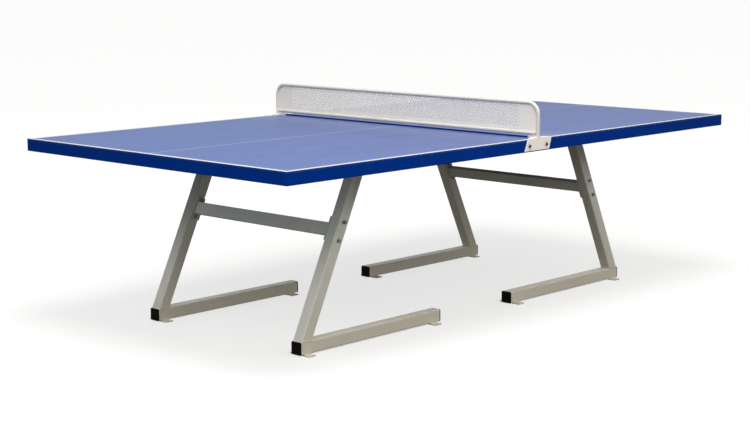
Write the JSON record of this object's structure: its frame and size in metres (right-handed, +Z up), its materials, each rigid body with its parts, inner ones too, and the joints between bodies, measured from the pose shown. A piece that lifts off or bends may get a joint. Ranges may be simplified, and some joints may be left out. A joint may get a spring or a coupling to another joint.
{
  "type": "outdoor table tennis table",
  "caption": "Fixed outdoor table tennis table: blue boards in steel aprons, a perforated steel net, and leaning square-tube legs on long flat feet.",
  "frame": {"origin": "on the ground, under the middle of the table", "axes": "+X along the length of the table, +Y from the near long side to the far one, +Z up"},
  "size_m": [2.74, 1.5432, 0.909],
  "materials": {
    "board_blue": "satin resin laminate with white painted lines",
    "apron_blue": "satin blue powder coat",
    "frame_grey": "satin silver-grey powder coat",
    "net_white": "satin off-white powder coat",
    "bracket_grey": "satin light grey powder coat",
    "cap_black": "moulded, fine grain",
    "bolt_zinc": "zinc plated, dulled",
    "bolt_dark": "black oxide"
  },
  "bodies": {
    "root": {"playing_board_left": "board_blue", "playing_board_right": "board_blue", "apron_end_left": "apron_blue", "apron_near_left": "apron_blue", "apron_far_left": "apron_blue", "joint_rail_left": "apron_blue", "top_bearer_left": "apron_blue", "apron_end_right": "apron_blue", "apron_near_right": "apron_blue", "apron_far_right": "apron_blue", "joint_rail_right": "apron_blue", "top_bearer_right": "apron_blue", "cross_beam_left": "frame_grey", "leg_near_left": "frame_grey", "foot_near_left": "frame_grey", "foot_cap_outer_near_left": "cap_black", "foot_cap_inner_near_left": "cap_black", "floor_plate_outer_near_left": "frame_grey", "floor_plate_inner_near_left": "frame_grey", "head_bolts_near_left": "bolt_zinc", "beam_bolt_lower_near_left": "bolt_zinc", "beam_bolt_upper_near_left": "bolt_zinc", "leg_far_left": "frame_grey", "foot_far_left": "frame_grey", "foot_cap_outer_far_left": "cap_black", "foot_cap_inner_far_left": "cap_black", "floor_plate_outer_far_left": "frame_grey", "floor_plate_inner_far_left": "frame_grey", "head_bolts_far_left": "bolt_zinc", "beam_bolt_lower_far_left": "bolt_zinc", "beam_bolt_upper_far_left": "bolt_zinc", "cross_beam_right": "frame_grey", "leg_near_right": "frame_grey", "foot_near_right": "frame_grey", "foot_cap_outer_near_right": "cap_black", "foot_cap_inner_near_right": "cap_black", "floor_plate_outer_near_right": "frame_grey", "floor_plate_inner_near_right": "frame_grey", "head_bolts_near_right": "bolt_zinc", "beam_bolt_lower_near_right": "bolt_zinc", "beam_bolt_upper_near_right": "bolt_zinc", "leg_far_right": "frame_grey", "foot_far_right": "frame_grey", "foot_cap_outer_far_right": "cap_black", "foot_cap_inner_far_right": "cap_black", "floor_plate_outer_far_right": "frame_grey", "floor_plate_inner_far_right": "frame_grey", "head_bolts_far_right": "bolt_zinc", "beam_bolt_lower_far_right": "bolt_zinc", "beam_bolt_upper_far_right": "bolt_zinc", "net_frame": "net_white", "net_lower_tube": "net_white", "net_panel": "net_white", "net_bracket_near": "bracket_grey", "bracket_bolt_near_left": "bolt_dark", "bracket_bolt_near_right": "bolt_dark", "net_bracket_far": "bracket_grey", "bracket_bolt_far_left": "bolt_dark", "bracket_bolt_far_right": "bolt_dark", "joining_bolt": "bolt_zinc"}
  },
  "joints": []
}
